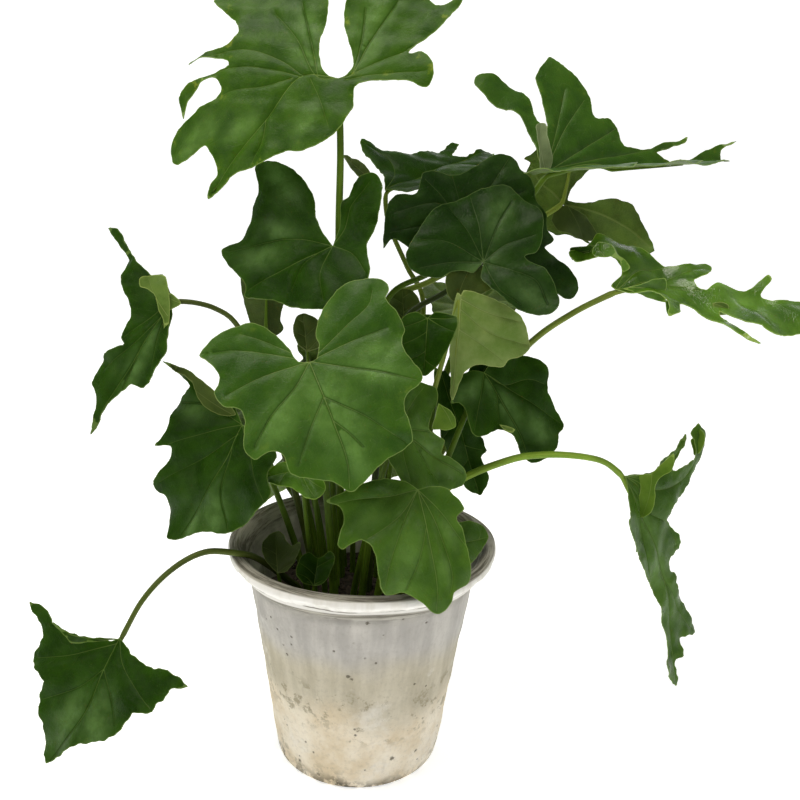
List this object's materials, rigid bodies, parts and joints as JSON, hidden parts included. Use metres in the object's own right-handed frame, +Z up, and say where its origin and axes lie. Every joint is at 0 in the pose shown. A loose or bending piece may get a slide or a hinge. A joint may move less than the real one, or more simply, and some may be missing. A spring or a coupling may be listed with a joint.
{
  "type": "potted philodendron selloum house plant",
  "caption": "Aroid house plant with large lobed, ruffled leaves on long arching petioles, rooted in soil in a round whitewashed clay pot with a rolled rim.",
  "frame": {"origin": "centre of the pot's underside, which stands on the floor", "axes": "+Z up; +X to the side where the longest leaves reach out; -Y towards the side that the front leaf faces"},
  "size_m": [0.7258, 0.3516, 0.7522],
  "materials": {
    "pot": "matte",
    "soil": "matte",
    "leaf_light": "satin",
    "leaf_bright": "gloss",
    "leaf_mid": "satin",
    "leaf_sheen": "satin",
    "leaf_dark": "satin",
    "leaf_olive": "matte",
    "leaf_pale": "satin",
    "petiole_green": "satin",
    "petiole_bright": "satin",
    "petiole_pale": "satin",
    "petiole_dark": "satin"
  },
  "bodies": {
    "root": {"blade_back_centre": "leaf_mid", "blade_back_far_left": "leaf_mid", "blade_back_far_right": "leaf_dark", "blade_back_left": "leaf_dark", "blade_back_low": "leaf_dark", "blade_back_right": "leaf_dark", "blade_behind_left": "leaf_olive", "blade_centre_low": "leaf_mid", "blade_crest": "leaf_dark", "blade_crumpled": "leaf_dark", "blade_front_centre": "leaf_sheen", "blade_inner_right": "leaf_dark", "blade_left_high": "leaf_dark", "blade_left_low": "leaf_mid", "blade_left_middle": "leaf_dark", "blade_over_rim": "leaf_mid", "blade_pale_young": "leaf_pale", "blade_right_high": "leaf_bright", "blade_right_low": "leaf_mid", "blade_right_middle": "leaf_dark", "blade_rim_right": "leaf_mid", "blade_top_left": "leaf_light", "blade_top_right": "leaf_mid", "blade_upper_back": "leaf_dark", "blade_upper_centre": "leaf_dark", "blade_upper_left": "leaf_dark", "petiole_back_centre": "petiole_green", "petiole_back_far_left": "petiole_green", "petiole_back_far_right": "petiole_green", "petiole_back_left": "petiole_green", "petiole_back_low": "petiole_green", "petiole_back_right": "petiole_pale", "petiole_behind_left": "petiole_green", "petiole_centre_low": "petiole_green", "petiole_crest": "petiole_pale", "petiole_crumpled": "petiole_green", "petiole_front_centre": "petiole_green", "petiole_inner_right": "petiole_green", "petiole_left_high": "petiole_dark", "petiole_left_low": "petiole_dark", "petiole_left_middle": "petiole_green", "petiole_over_rim": "petiole_green", "petiole_pale_young": "petiole_pale", "petiole_right_high": "petiole_pale", "petiole_right_low": "petiole_bright", "petiole_right_middle": "petiole_green", "petiole_rim_right": "petiole_green", "petiole_top_left": "petiole_green", "petiole_top_right": "petiole_green", "petiole_upper_back": "petiole_green", "petiole_upper_centre": "petiole_dark", "petiole_upper_left": "petiole_green", "pot": "pot", "soil": "soil", "young_leaf_inner_centre": "leaf_olive", "young_leaf_inner_left": "leaf_olive", "young_leaf_pot_left": "leaf_bright", "young_leaf_pot_right": "leaf_bright", "young_leaf_top": "leaf_olive", "young_leaf_under_left": "leaf_bright"}
  },
  "joints": []
}
